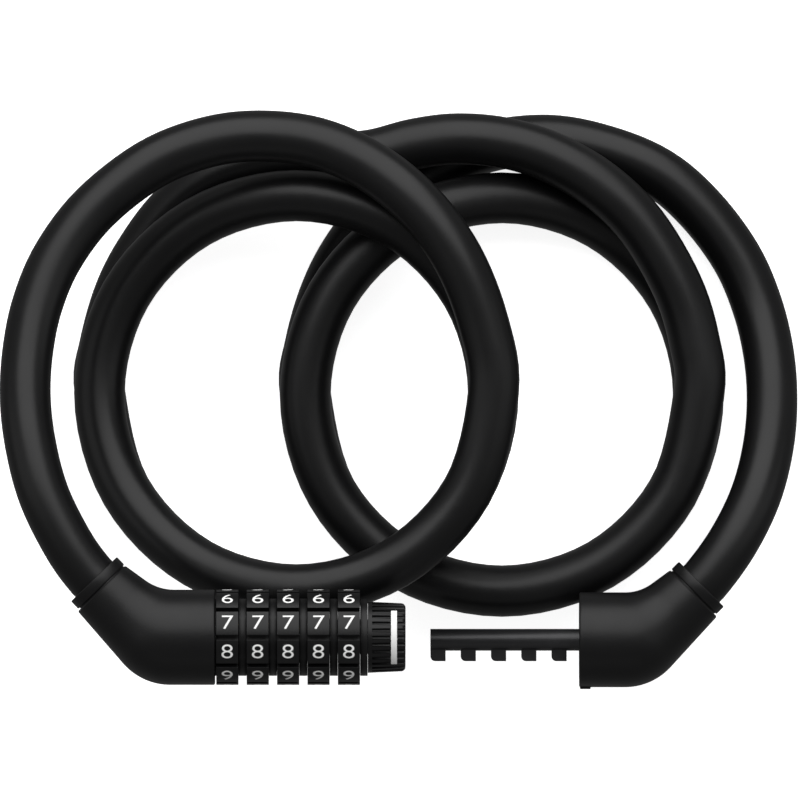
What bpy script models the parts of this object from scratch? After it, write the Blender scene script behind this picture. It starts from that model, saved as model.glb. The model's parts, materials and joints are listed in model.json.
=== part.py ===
"""Five-dial combination cable lock, lying coiled on a table.

Frame: X along the lock, Y across it, Z up.  The origin is on the table, under the middle of the coil.
Every size in this file is in millimetres until it is handed to Blender, which gets metres.
"""
import math

import bmesh
import bpy
from mathutils import Vector

MM = 0.001
GAP = 0.3  # clearance between neighbouring pieces

# Cable
CABLE_R = 6.0
CABLE_WALL = 2.0
CORE_R = 3.45
CABLE_POINTS = 74
LEVEL = 12.4  # height from one stacked pass of the cable to the next

# The two end housings
HOUSING_R = 11.1
NECK_R = 7.6
BORE_R = CABLE_R + GAP
DIAL_AXIS_Y = -55.3
DIAL_AXIS_Z = 55.3
DIAL_FACE_X = -43.1
PIN_AXIS_Y = -56.1
PIN_AXIS_Z = 27.6
PIN_FACE_X = 41.9
BEND_R = 13.3
DIAL_ELBOW = {"straight": 9.5, "bend_deg": 46.0, "neck": 10.4}
PIN_ELBOW = {"straight": 10.1, "bend_deg": 45.0, "neck": 10.1}
CAVITY_R = 8.9
COLLAR_R = 7.45
COLLAR_WIDTH = 2.5
CABLE_INSET = 4.0  # how far the cable's cover goes into a housing's neck

# The dial stack
DIAL_COUNT = 5
DIAL_PITCH = 7.08
DIAL_WIDTH = 5.15
DIAL_BORE_R = 7.3
GROOVES = 10
GROOVE_WIDTH = 1.2
GROOVE_DEPTH = 1.0
CODE_RING_R = 7.0
SLEEVE_R = 4.2
SLEEVE_BORE_R = 3.2
SLOT_WIDTH = 3.0
GATE_R = 5.5  # how far the gates reach out from the axis
DIVIDER_R = 9.0
FIRST_DIAL_X = DIAL_FACE_X + GAP
PLUNGER_FRONT_X = -29.7
PLUNGER_LENGTH = 5.6

# The reset knob
KNOB_LEFT_X = -7.5
KNOB_RIGHT_X = 1.3
KNOB_R = 7.9
KNOB_RIBS = 30
RIB_DEPTH = 0.45
RIB_HALF_SHARE = 0.28  # half of a rib's top, as a share of the pitch

# The toothed pin
PIN_TIP_X = 7.1
PIN_R = 2.55
TOOTH_REACH = 5.0
TOOTH_WIDTH = 3.55
TOOTH_THICKNESS = 2.2
ANCHOR_R = 0.7
ANCHOR_LOW = 6.4
ANCHOR_HIGH = 5.2

X_AXIS = Vector((1, 0, 0))
UP = Vector((0, 0, 1))


def clear_scene():
    for old in list(bpy.data.objects):
        bpy.data.objects.remove(old, do_unlink=True)


def material(name, colour, roughness, metallic=0.0):
    made = bpy.data.materials.new(name)
    made.use_nodes = True
    shader = made.node_tree.nodes["Principled BSDF"]
    shader.inputs["Base Color"].default_value = (*colour, 1.0)
    shader.inputs["Roughness"].default_value = roughness
    shader.inputs["Metallic"].default_value = metallic
    made.diffuse_color = (*colour, 1.0)
    return made


def black_plastic(name):
    return material(name, (0.012, 0.012, 0.013), 0.38)


def black_vinyl(name):
    return material(name, (0.014, 0.014, 0.015), 0.34)


def steel(name):
    return material(name, (0.52, 0.53, 0.55), 0.28, 1.0)


def blackened_steel(name):
    return material(name, (0.02, 0.02, 0.022), 0.36, 0.8)


def brass(name):
    return material(name, (0.62, 0.44, 0.18), 0.32, 1.0)


def zinc(name):
    return material(name, (0.40, 0.41, 0.43), 0.42, 1.0)


def add_object(name, bm, finish, smooth=True):
    """Put a finished mesh in the scene, in metres, with its faces pointing out."""
    bmesh.ops.recalc_face_normals(bm, faces=bm.faces)
    mesh = bpy.data.meshes.new(name)
    bm.to_mesh(mesh)
    bm.free()
    if smooth:
        mesh.shade_smooth()
        mesh.set_sharp_from_angle(angle=math.radians(35))
    made = bpy.data.objects.new(name, mesh)
    bpy.context.collection.objects.link(made)
    made.data.materials.append(finish(name))
    return made


def circle(bm, centre, tangent, radius, sides):
    """A ring of vertices square to the tangent, which lies level."""
    side = tangent.cross(UP).normalized()
    ring = []
    for step in range(sides):
        turn = 2 * math.pi * step / sides
        at = centre + radius * (math.cos(turn) * side + math.sin(turn) * UP)
        ring.append(bm.verts.new(at * MM))
    return ring


def skin(name, sections, finish, sides=24, hollow=True):
    """Bridge circles of (centre, tangent, radius).  A hollow piece's last circle joins its first."""
    bm = bmesh.new()
    rings = [circle(bm, *section, sides) for section in sections]
    pairs = list(zip(rings, rings[1:]))
    if hollow:
        pairs.append((rings[-1], rings[0]))
    for near, far in pairs:
        for step in range(sides):
            after = (step + 1) % sides
            bm.faces.new((near[step], near[after], far[after], far[step]))
    if not hollow:
        bm.faces.new(rings[0])
        bm.faces.new(rings[-1])
    return add_object(name, bm, finish)


def turned(name, profile, axis_y, axis_z, finish, sides=24, hollow=True):
    """A piece turned about a line along X, from its (x, radius) profile."""
    sections = [(Vector((x, axis_y, axis_z)), X_AXIS, radius) for x, radius in profile]
    return skin(name, sections, finish, sides, hollow)


def arc_points(radius, start_deg, end_deg, steps):
    """Points (y, z) on a circle about the axis; 0 degrees is +Y and 90 degrees is +Z."""
    points = []
    for step in range(steps + 1):
        turn = math.radians(start_deg + (end_deg - start_deg) * step / steps)
        points.append((radius * math.cos(turn), radius * math.sin(turn)))
    return points


def plate(name, outlines, x_low, x_high, axis_y, axis_z, finish):
    """Extrude closed (y, z) outlines along X; an outline inside another is a hole."""
    bm = bmesh.new()
    for outline in outlines:
        corners = [bm.verts.new(Vector((x_low, axis_y + y, axis_z + z)) * MM) for y, z in outline]
        for here, there in zip(corners, corners[1:] + corners[:1]):
            bm.edges.new((here, there))
    bmesh.ops.triangle_fill(bm, edges=bm.edges[:], use_beauty=True)
    grown = bmesh.ops.extrude_face_region(bm, geom=bm.faces[:])
    moved = [item for item in grown["geom"] if isinstance(item, bmesh.types.BMVert)]
    bmesh.ops.translate(bm, verts=moved, vec=((x_high - x_low) * MM, 0, 0))
    return add_object(name, bm, finish)


def gated_bore(bore_r, gate_r, steps=16):
    """The bore's outline, with a gate on the -Y side that the pin's teeth pass through."""
    half = SLOT_WIDTH / 2
    lip = math.degrees(math.asin(half / bore_r))
    points = arc_points(bore_r, 180 + lip, 540 - lip, steps)
    points.append((-gate_r, half))
    points.append((-gate_r, -half))
    return points


def grooved_rim():
    """A dial's rim, with one groove square on top and the rest evenly spaced."""
    half = math.degrees(GROOVE_WIDTH / 2 / HOUSING_R)
    pitch = 360 / GROOVES
    points = []
    for groove in range(GROOVES):
        middle = 90 + groove * pitch
        points += arc_points(HOUSING_R - GROOVE_DEPTH, middle - half, middle + half, 1)
        points += arc_points(HOUSING_R, middle + half, middle + pitch - half, 3)
    return points


def fluted_rim():
    """The knob's rim, with a narrow valley between one rib and the next."""
    pitch = 360 / KNOB_RIBS
    points = []
    for rib in range(KNOB_RIBS):
        middle = 90 + rib * pitch
        half = RIB_HALF_SHARE * pitch
        valley = math.radians(middle + pitch / 2)
        points += arc_points(KNOB_R, middle - half, middle + half, 1)
        floor = KNOB_R - RIB_DEPTH
        points.append((floor * math.cos(valley), floor * math.sin(valley)))
    return points


def elbow_path(face, heading, shape, turn_sign):
    """A function giving (centre, tangent) at a distance from the face, along the elbow's middle line."""
    bend = math.radians(shape["bend_deg"])
    bend_length = BEND_R * bend

    def at(distance):
        along = min(distance, shape["straight"])
        turn = min(max(distance - shape["straight"], 0.0) / BEND_R, bend)
        neck = max(distance - shape["straight"] - bend_length, 0.0)
        side = Vector((0, 1, 0))
        tangent = math.cos(turn) * heading + math.sin(turn) * turn_sign * side
        centre = face + along * heading
        centre += BEND_R * math.sin(turn) * heading
        centre += BEND_R * (1 - math.cos(turn)) * turn_sign * side
        centre += neck * tangent
        return centre, tangent

    length = shape["straight"] + bend_length + shape["neck"]
    return at, length


DIAL_FACE = Vector((DIAL_FACE_X, DIAL_AXIS_Y, DIAL_AXIS_Z))
PIN_FACE = Vector((PIN_FACE_X, PIN_AXIS_Y, PIN_AXIS_Z))
DIAL_PATH, DIAL_LENGTH = elbow_path(DIAL_FACE, -X_AXIS, DIAL_ELBOW, 1)
PIN_PATH, PIN_LENGTH = elbow_path(PIN_FACE, X_AXIS, PIN_ELBOW, 1)


def housing_sections(path, length, shape, front_bore_r, front_wall):
    """The elbow's outside from its face to its neck, then its bore back to the face."""
    bend_end = length - shape["neck"]
    bend = [shape["straight"] + (bend_end - shape["straight"]) * step / 6 for step in range(7)]
    sections = [(0.0, HOUSING_R - 0.35), (0.35, HOUSING_R)]
    for distance in bend + [length - 0.25]:
        share = max(0.0, (distance - shape["straight"]) / (length - shape["straight"]))
        sections.append((distance, HOUSING_R + (NECK_R - HOUSING_R) * share))
    sections.append((length, NECK_R - 0.25))
    sections.append((length, BORE_R))
    sections += [(distance, BORE_R) for distance in reversed(bend)]
    cavity_end = shape["straight"] - 1.0
    sections.append((cavity_end, CAVITY_R))
    if front_wall:
        sections.append((front_wall, CAVITY_R))
        sections.append((front_wall, front_bore_r))
    sections.append((0.0, front_bore_r))
    return [(*path(distance), radius) for distance, radius in sections]


def neck_ring(name, path, length):
    """The collar that closes the housing where the cable comes out."""
    near = length + GAP
    far = near + COLLAR_WIDTH
    profile = [(near, BORE_R), (near, COLLAR_R), (far, COLLAR_R), (far, BORE_R)]
    return skin(name, [(*path(at), radius) for at, radius in profile], black_plastic)


def neck_ferrule(name, path, length):
    """The crimped ferrule on the cable's steel core, just inside the cover's cut end."""
    outer = length - CABLE_INSET - GAP
    inner = outer - 4.6
    bore = CORE_R + GAP
    profile = [(outer, bore), (outer, 5.6), (inner, 5.6), (inner, bore)]
    return skin(name, [(*path(at), radius) for at, radius in profile], zinc, 20)


def anchor_place(path, length):
    """Where the roll pin crosses the neck: upright, beside the core."""
    centre, tangent = path(length - CABLE_INSET - GAP - 2.3)
    return centre + 4.75 * tangent.cross(UP).normalized()


def upright_rod(name, centre, radius, low, high, finish, sides=12):
    """A rod standing from low to high, measured from the centre."""
    bm = bmesh.new()
    bmesh.ops.create_cone(
        bm,
        cap_ends=True,
        segments=sides,
        radius1=radius * MM,
        radius2=radius * MM,
        depth=(high - low) * MM,
    )
    middle = centre + (low + high) / 2 * UP
    bmesh.ops.translate(bm, verts=bm.verts, vec=middle * MM)
    return add_object(name, bm, finish)


def cut(target, cutter):
    """Take the cutter away from the target, and keep the cutter only as a guide."""
    step = target.modifiers.new(cutter.name, "BOOLEAN")
    step.operation = "DIFFERENCE"
    step.object = cutter
    cutter.hide_render = True
    cutter.display_type = "WIRE"


def make_housing_neck(side, shell, path, length):
    """Collar, ferrule and roll pin of one end, with the roll pin's hole, blind and open underneath."""
    neck_ring(side + "_collar_ring", path, length)
    ferrule = neck_ferrule(side + "_cable_ferrule", path, length)
    place = anchor_place(path, length)
    upright_rod(side + "_anchor_pin", place, ANCHOR_R, -ANCHOR_LOW, ANCHOR_HIGH, steel, 10)
    hole_high = ANCHOR_HIGH + GAP
    hole = upright_rod(side + "_anchor_hole", place, ANCHOR_R + GAP, -2 * ANCHOR_LOW, hole_high, steel, 10)
    cut(shell, hole)
    cut(ferrule, hole)


def make_dial_housing():
    shell = skin(
        "dial_elbow_shell",
        housing_sections(DIAL_PATH, DIAL_LENGTH, DIAL_ELBOW, CAVITY_R, 0.0),
        black_plastic,
    )
    make_housing_neck("dial", shell, DIAL_PATH, DIAL_LENGTH)


def make_pin_housing():
    shell = skin(
        "pin_elbow_shell",
        housing_sections(PIN_PATH, PIN_LENGTH, PIN_ELBOW, PIN_R + GAP, 2.4),
        black_plastic,
    )
    make_housing_neck("pin", shell, PIN_PATH, PIN_LENGTH)


def make_lock_sleeve():
    """The fixed tube that the dials turn on, with its root flange and the slot for the teeth."""
    flange_left = DIAL_FACE_X - 8.0
    flange_right = flange_left + 1.5
    right = KNOB_LEFT_X + 2.9
    profile = [
        (flange_left, SLEEVE_BORE_R),
        (flange_left, CAVITY_R - GAP),
        (flange_right, CAVITY_R - GAP),
        (flange_right, SLEEVE_R),
        (right, SLEEVE_R),
        (right, SLEEVE_BORE_R),
    ]
    sleeve = turned("lock_sleeve", profile, DIAL_AXIS_Y, DIAL_AXIS_Z, zinc)
    bm = bmesh.new()
    bmesh.ops.create_cube(bm, size=1.0)
    length = right + 2.0 - FIRST_DIAL_X
    bmesh.ops.scale(bm, verts=bm.verts, vec=(length * MM, 4.0 * MM, SLOT_WIDTH * MM))
    middle = Vector((FIRST_DIAL_X + length / 2, DIAL_AXIS_Y - 4.5, DIAL_AXIS_Z))
    bmesh.ops.translate(bm, verts=bm.verts, vec=middle * MM)
    cut(sleeve, add_object("sleeve_slot", bm, zinc, smooth=False))


def make_dials():
    """Each dial with the coded ring inside it, and a fixed divider after each."""
    for number in range(1, DIAL_COUNT + 1):
        left = FIRST_DIAL_X + (number - 1) * DIAL_PITCH
        right = left + DIAL_WIDTH
        axis = (DIAL_AXIS_Y, DIAL_AXIS_Z)
        bore = arc_points(DIAL_BORE_R, 0, 345, 23)
        plate(f"dial_{number}", [grooved_rim(), bore], left, right, *axis, black_plastic)
        rim = arc_points(CODE_RING_R, 0, 340, 17)
        gated = gated_bore(SLEEVE_R + GAP, GATE_R)
        plate(f"code_ring_{number}", [rim, gated], left, right, *axis, brass)
        next_left = left + DIAL_PITCH if number < DIAL_COUNT else KNOB_LEFT_X
        rim = arc_points(DIVIDER_R, 0, 345, 23)
        plate(f"divider_{number}", [rim, gated], right + GAP, next_left - GAP, *axis, black_plastic)


def coil_spring(name, left, right, radius, wire_r, turns, finish):
    """A wire coil along X, drawn by a formula."""
    data = bpy.data.curves.new(name, "CURVE")
    data.dimensions = "3D"
    data.bevel_depth = wire_r * MM
    data.bevel_resolution = 1
    data.use_fill_caps = True
    line = data.splines.new("POLY")
    steps = turns * 9
    line.points.add(steps)
    for step in range(steps + 1):
        turn = 2 * math.pi * turns * step / steps
        x = left + wire_r + (right - left - 2 * wire_r) * step / steps
        y = DIAL_AXIS_Y + radius * math.cos(turn)
        z = DIAL_AXIS_Z + radius * math.sin(turn)
        line.points[step].co = (x * MM, y * MM, z * MM, 1.0)
    made = bpy.data.objects.new(name, data)
    bpy.context.collection.objects.link(made)
    data.materials.append(finish(name))
    return made


def make_clutch_and_ejector():
    """The springs and loose pieces inside the dial housing."""
    flange_right = DIAL_FACE_X - 6.5
    washer_left = DIAL_FACE_X - 1.2
    coil_spring("clutch_spring", flange_right + GAP, washer_left - GAP, 6.4, 0.45, 3, steel)
    washer = [
        (washer_left, SLEEVE_R + GAP),
        (washer_left, CAVITY_R - GAP),
        (DIAL_FACE_X, CAVITY_R - GAP),
        (DIAL_FACE_X, SLEEVE_R + GAP),
    ]
    turned("thrust_washer", washer, DIAL_AXIS_Y, DIAL_AXIS_Z, steel)
    stop_left = DIAL_FACE_X - 8.0
    stop_right = stop_left + 1.6
    stop_r = SLEEVE_BORE_R - GAP
    turned(
        "ejector_stop",
        [(stop_left, stop_r), (stop_right, stop_r)],
        DIAL_AXIS_Y,
        DIAL_AXIS_Z,
        steel,
        16,
        hollow=False,
    )
    back = PLUNGER_FRONT_X - PLUNGER_LENGTH
    shoulder = PLUNGER_FRONT_X - 0.6
    plunger = [(back, 2.2), (back + 0.6, 2.8), (shoulder, 2.8), (PLUNGER_FRONT_X, 2.2)]
    turned("ejector_plunger", plunger, DIAL_AXIS_Y, DIAL_AXIS_Z, brass, 16, hollow=False)
    coil_spring("ejector_spring", stop_right + GAP, back - GAP, 2.2, 0.3, 6, steel)


def make_reset_knob():
    """The fluted end knob: a keyhole bore in front, and room for the retaining ring behind."""
    axis = (DIAL_AXIS_Y, DIAL_AXIS_Z)
    keyhole = gated_bore(SLEEVE_BORE_R + 0.1, GATE_R)
    knob = plate("reset_knob", [fluted_rim(), keyhole], KNOB_LEFT_X, KNOB_RIGHT_X, *axis, black_plastic)
    chamber = [(KNOB_LEFT_X - 1.0, 5.9), (KNOB_LEFT_X + 3.3, 5.9)]
    cutter = turned("knob_chamber", chamber, *axis, black_plastic, 24, hollow=False)
    cut(knob, cutter)
    left = KNOB_LEFT_X + 1.0
    ring = [
        (left, SLEEVE_R + GAP),
        (left, 5.5),
        (left + 0.9, 5.5),
        (left + 0.9, SLEEVE_R + GAP),
    ]
    turned("knob_retaining_ring", ring, *axis, steel)


def make_toothed_pin():
    """The round pin with its row of square teeth, and the tail that the housing holds."""
    tail_left = PIN_FACE_X + 2.4 + GAP
    profile = [
        (PIN_TIP_X, PIN_R - 0.4),
        (PIN_TIP_X + 0.4, PIN_R),
        (tail_left, PIN_R),
        (tail_left, 5.6),
        (tail_left + 1.6, 5.6),
    ]
    pin = turned("toothed_pin", profile, PIN_AXIS_Y, PIN_AXIS_Z, blackened_steel, 20, hollow=False)
    bm = bmesh.new()
    half = TOOTH_THICKNESS / 2
    for number in range(DIAL_COUNT):
        left = PIN_TIP_X + 0.02 + number * DIAL_PITCH
        right = left + TOOTH_WIDTH
        outline = [
            (left, -1.0),
            (left, 1.0 - TOOTH_REACH),
            (left + 1.0, -TOOTH_REACH),
            (right, -TOOTH_REACH),
            (right, -1.0),
        ]
        low = [bm.verts.new(Vector((x, PIN_AXIS_Y + y, PIN_AXIS_Z - half)) * MM) for x, y in outline]
        face = bm.faces.new(low)
        grown = bmesh.ops.extrude_face_region(bm, geom=[face])
        moved = [item for item in grown["geom"] if isinstance(item, bmesh.types.BMVert)]
        bmesh.ops.translate(bm, verts=moved, vec=(0, 0, TOOTH_THICKNESS * MM))
    teeth = add_object("pin_teeth_guide", bm, blackened_steel, smooth=False)
    join = pin.modifiers.new("teeth", "BOOLEAN")
    join.operation = "UNION"
    join.object = teeth
    teeth.hide_render = True
    teeth.display_type = "WIRE"


def make_pin_clamp_ring():
    """The ring pressed in behind the pin's tail, which holds it against the front wall."""
    left = PIN_FACE_X + 2.4 + GAP + 1.6 + GAP
    ring = [
        (left, 3.0),
        (left, CAVITY_R - GAP),
        (left + 1.8, CAVITY_R - GAP),
        (left + 1.8, 3.0),
    ]
    turned("pin_clamp_ring", ring, PIN_AXIS_Y, PIN_AXIS_Z, steel)


def ease(low, high, share):
    """Go from low to high smoothly while share goes from 0 to 1."""
    share = min(max(share, 0.0), 1.0)
    return low + (high - low) * (1 - math.cos(math.pi * share)) / 2


# The cable's route, from the dial housing to the pin housing.  Two round coils, each one and a half
# turns long, are worked out by coil_turns; the stretches between them are these points.
FIRST_COIL = Vector((-24.3, 1.7, 0))
SECOND_COIL = Vector((23.9, 1.3, 0))
COIL_R = 46.1
LEAVE_DIAL_END = [
    (-77.3, -33.7, 55.2),
    (-82.9, -22.5, 54.1),
    (-86.0, -11.2, 51.9),
    (-87.4, 0.0, 49.0),
    (-86.9, 11.2, 46.0),
    (-84.6, 22.5, 43.3),
    (-79.8, 33.7, 40.9),
    (-71.3, 44.9, 38.9),
    (-58.5, 54.9, 37.5),
    (-45.6, 60.1, 37.0),
    (-33.0, 61.7, 37.0),
    (-19.5, 60.1, 37.5),
    (-6.8, 54.5, 39.4),
    (4.5, 45.4, 41.9),
    (13.6, 33.0, 43.2),
    (19.6, 17.6, 43.2),
]
CROSS_TO_SECOND = [
    (-69.3, 12.9, 6.0),
    (-65.6, 25.7, 6.1),
    (-60.1, 36.0, 7.0),
    (-52.9, 45.1, 8.6),
    (-43.3, 51.9, 11.0),
    (-31.8, 55.4, 13.6),
    (-19.2, 56.4, 16.2),
    (-6.8, 57.4, 18.0),
    (3.5, 60.0, 18.4),
    (13.6, 61.2, 18.4),
    (24.7, 60.2, 18.4),
    (35.5, 56.8, 18.4),
    (46.8, 50.3, 18.4),
    (56.6, 40.8, 18.4),
    (65.0, 26.6, 18.4),
    (69.0, 13.6, 18.4),
]
LEAD_TO_PIN_END = [
    (-21.1, 12.9, 6.0),
    (-17.3, 25.7, 6.0),
    (-11.7, 36.2, 6.0),
    (-3.7, 45.8, 6.0),
    (7.0, 53.4, 6.0),
    (19.9, 59.2, 6.0),
    (34.6, 61.0, 6.0),
    (48.2, 58.5, 6.0),
    (60.6, 53.3, 6.0),
    (70.4, 44.9, 6.0),
    (78.8, 33.7, 6.1),
    (83.7, 22.5, 7.2),
    (86.4, 11.2, 10.3),
    (87.2, 0.0, 14.5),
    (86.2, -11.2, 19.1),
    (83.2, -22.5, 23.5),
    (77.9, -33.2, 26.5),
]


def coil_turns(centre, heights, start_deg, end_deg, step_deg=-30):
    """Points round a coil, clockwise; heights gives the height at each angle."""
    points = []
    for angle in range(start_deg, end_deg + step_deg, step_deg):
        turn = math.radians(angle)
        flat = centre + COIL_R * Vector((math.cos(turn), math.sin(turn), 0))
        points.append(Vector((flat.x, flat.y, heights(angle))))
    return points


def first_coil_height(angle):
    """Four passes high on the right, where it lies over the other coil; on the table at its left."""
    if angle > -200:
        return ease(CABLE_R + 3 * LEVEL, CABLE_R + LEVEL, (-64 - angle) / 120)
    if angle > -370:
        return ease(CABLE_R + LEVEL, CABLE_R + 2 * LEVEL, (-210 - angle) / 85)
    return ease(CABLE_R + 2 * LEVEL, CABLE_R, (-420 - angle) / 120)


def second_coil_height(angle):
    """Its first pass lies on its second, and comes down inside the stretch that crosses over."""
    return ease(CABLE_R + LEVEL, CABLE_R, (-235 - angle) / 75)


def cable_exit(path, length):
    """Where the cable leaves the collar, and the direction it goes in."""
    return path(length + GAP + COLLAR_WIDTH + 1.0)


def route_points():
    """The whole route's own points, from collar to collar."""
    points = [cable_exit(DIAL_PATH, DIAL_LENGTH)[0]]
    points += [Vector(point) for point in LEAVE_DIAL_END]
    points += coil_turns(FIRST_COIL, first_coil_height, 0, -540)
    points += [Vector(point) for point in CROSS_TO_SECOND]
    points += coil_turns(SECOND_COIL, second_coil_height, 0, -540)
    points += [Vector(point) for point in LEAD_TO_PIN_END]
    points.append(cable_exit(PIN_PATH, PIN_LENGTH)[0])
    return points


def smooth_line(points, start_tangent, end_tangent, count):
    """A smooth curve through the points, read at even steps along its length."""
    reach = (points[1] - points[0]).length
    before = points[0] - reach * start_tangent
    after = points[-1] - reach * end_tangent
    knots = [before, *points, after]
    fine = []
    for p0, p1, p2, p3 in zip(knots, knots[1:], knots[2:], knots[3:]):
        for step in range(16):
            t = step / 16
            fine.append(
                0.5
                * (
                    2 * p1
                    + (p2 - p0) * t
                    + (2 * p0 - 5 * p1 + 4 * p2 - p3) * t**2
                    + (3 * p1 - p0 - 3 * p2 + p3) * t**3
                )
            )
    fine.append(points[-1])
    lengths = [0.0]
    for here, there in zip(fine, fine[1:]):
        lengths.append(lengths[-1] + (there - here).length)
    even = []
    place = 0
    for number in range(count):
        wanted = lengths[-1] * number / (count - 1)
        while place < len(fine) - 2 and lengths[place + 1] < wanted:
            place += 1
        span = lengths[place + 1] - lengths[place]
        even.append(fine[place].lerp(fine[place + 1], (wanted - lengths[place]) / span))
    return even


def tube(name, points, radius, resolution, finish, wall=0.0):
    """A round tube along the points; with a wall it is hollow, and open at both ends."""
    data = bpy.data.curves.new(name, "CURVE")
    data.dimensions = "3D"
    data.bevel_depth = radius * MM
    data.bevel_resolution = resolution
    data.use_fill_caps = not wall
    line = data.splines.new("POLY")
    line.points.add(len(points) - 1)
    for place, point in zip(line.points, points):
        place.co = (*(point * MM), 1.0)
    made = bpy.data.objects.new(name, data)
    bpy.context.collection.objects.link(made)
    data.materials.append(finish(name))
    if wall:
        shell = made.modifiers.new("wall", "SOLIDIFY")
        shell.thickness = wall * MM
        shell.offset = -1.0
        shell.use_rim = True
    return made


def make_cable():
    """The vinyl cover and the steel core inside it, which runs on into both ferrules."""
    heading_a = cable_exit(DIAL_PATH, DIAL_LENGTH)[1]
    heading_b = cable_exit(PIN_PATH, PIN_LENGTH)[1]
    middle = smooth_line(route_points(), heading_a, heading_b, CABLE_POINTS)
    start = DIAL_PATH(DIAL_LENGTH - CABLE_INSET)[0]
    end = PIN_PATH(PIN_LENGTH - CABLE_INSET)[0]
    cover = [start, *middle, end]
    tube("cable_cover", cover, CABLE_R, 3, black_vinyl, CABLE_WALL)
    core = [start - 4.5 * heading_a, *middle, end - 4.5 * heading_b]
    tube("cable_core", core, CORE_R, 2, steel)


def main():
    clear_scene()
    make_dial_housing()
    make_lock_sleeve()
    make_dials()
    make_clutch_and_ejector()
    make_reset_knob()
    make_pin_housing()
    make_toothed_pin()
    make_pin_clamp_ring()
    make_cable()


main()
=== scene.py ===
"""The looks of a coiled five-dial cable lock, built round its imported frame."""
import json
import math

import bpy
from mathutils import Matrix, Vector


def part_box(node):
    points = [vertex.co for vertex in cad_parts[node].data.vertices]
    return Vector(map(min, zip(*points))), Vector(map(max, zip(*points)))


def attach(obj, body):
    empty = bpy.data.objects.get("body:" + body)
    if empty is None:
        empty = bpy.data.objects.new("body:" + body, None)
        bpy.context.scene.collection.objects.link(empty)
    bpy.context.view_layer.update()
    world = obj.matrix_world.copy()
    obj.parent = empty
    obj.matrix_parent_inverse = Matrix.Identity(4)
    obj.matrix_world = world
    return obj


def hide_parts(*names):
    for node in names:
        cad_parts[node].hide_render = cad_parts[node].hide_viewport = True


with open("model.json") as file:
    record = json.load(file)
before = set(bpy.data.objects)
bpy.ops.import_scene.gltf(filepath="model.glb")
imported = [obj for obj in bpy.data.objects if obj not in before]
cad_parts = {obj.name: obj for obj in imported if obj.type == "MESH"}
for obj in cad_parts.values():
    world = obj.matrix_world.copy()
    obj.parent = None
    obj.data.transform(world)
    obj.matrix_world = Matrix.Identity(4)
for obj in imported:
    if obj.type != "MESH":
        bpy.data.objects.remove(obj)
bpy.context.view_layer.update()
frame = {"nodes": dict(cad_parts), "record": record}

MM = 0.001
X_AXIS = Vector((1, 0, 0))
UP = Vector((0, 0, 1))


# ---------------------------------------------------------------- sizes, in metres

CABLE_R = 6.0 * MM
LEVEL = 12.4 * MM
HOUSING_R = 11.1 * MM
CABLE_BORE_R = 6.3 * MM
BEND_R = 13.3 * MM
CAVITY_R = 8.9 * MM
COLLAR_R = 7.45 * MM
COLLAR_WIDTH = 2.5 * MM
SPIGOT_R = 7.0 * MM
GAP = 0.3 * MM
DIAL_ELBOW = {"straight": 9.5 * MM, "bend_deg": 46.0, "neck": 10.4 * MM}
PIN_ELBOW = {"straight": 10.1 * MM, "bend_deg": 45.0, "neck": 10.1 * MM}
DIAL_COUNT = 5
GROOVES = 10
GROOVE_WIDTH = 1.1 * MM
GROOVE_DEPTH = 2.2 * MM
DIAL_BORE_R = 7.3 * MM
DIVIDER_R = 9.0 * MM
DIVIDER_BORE_R = 4.5 * MM
GATE_WIDTH = 3.0 * MM
GATE_R = 5.5 * MM
KNOB_R = 7.9 * MM
KNOB_ROOT_R = 8.3 * MM
KNOB_BORE_R = 3.3 * MM
KNOB_FLUTES = 30
FLUTE_R = 0.5 * MM
FLANGE_WIDTH = 1.0 * MM
KNOB_CHAMBER_R = 5.9 * MM
KNOB_CHAMBER_DEPTH = 3.3 * MM
MARK_WIDTH = 1.4 * MM
MARK_FROM_END = 2.0 * MM
MARK_HALF_DEG = 50
DIGIT_SIZE = 4.9 * MM
DIGIT_STRETCH = 1.28
PIN_WALL = 2.4 * MM
FLOOR_Z = -0.2 * MM
LENS = 1400.0
SENSOR = 36.0
PICTURE_WIDTH = 187.1 * MM  # what the camera sees across, at the height below
PICTURE_HEIGHT_Z = 30.0 * MM
PIN_R = 2.55 * MM
TOOTH_REACH = 5.0 * MM
TOOTH_WIDTH = 3.55 * MM
TOOTH_THICKNESS = 2.2 * MM
TOOTH_PITCH = 7.08 * MM
OVERCUT = 1.0 * MM  # how far a cutting tool runs past what it cuts
CLOSE_GAP = 0.05 * MM  # the least gap left between a turning piece and a still one

# Each elbow seen from above is a straight run, an arc and a straight taper along either edge.
# An edge has the distance from the face where it starts to turn, its radius, and how far round it goes.
DIAL_EDGES = {
    "inner": {"start": 9.5 * MM, "radius": 11.5 * MM, "turn_deg": 36.0},
    "outer": {"start": 10.5 * MM, "radius": 14.5 * MM, "turn_deg": 49.0},
}
PIN_EDGES = {
    "inner": {"start": 10.75 * MM, "radius": 10.5 * MM, "turn_deg": 36.0},
    "outer": {"start": 10.75 * MM, "radius": 14.5 * MM, "turn_deg": 47.5},
}
SKIN_SIDES = 96
TURN_START = 4.0 * MM  # the sections turn from here, over this length, gentler than the bore does
TURN_LENGTH = 22.0 * MM


def middle_of(node):
    low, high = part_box(node)
    return (Vector(low) + Vector(high)) / 2


def low_x(node):
    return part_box(node)[0][0]


def high_x(node):
    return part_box(node)[1][0]


DIAL_AXIS = middle_of("dial_3")
DIAL_FACE = Vector((high_x("dial_elbow_shell"), DIAL_AXIS.y, DIAL_AXIS.z))
PIN_AXIS = middle_of("pin_clamp_ring")
PIN_FACE = Vector((low_x("pin_elbow_shell"), PIN_AXIS.y, PIN_AXIS.z))


# ---------------------------------------------------------------- materials

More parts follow.
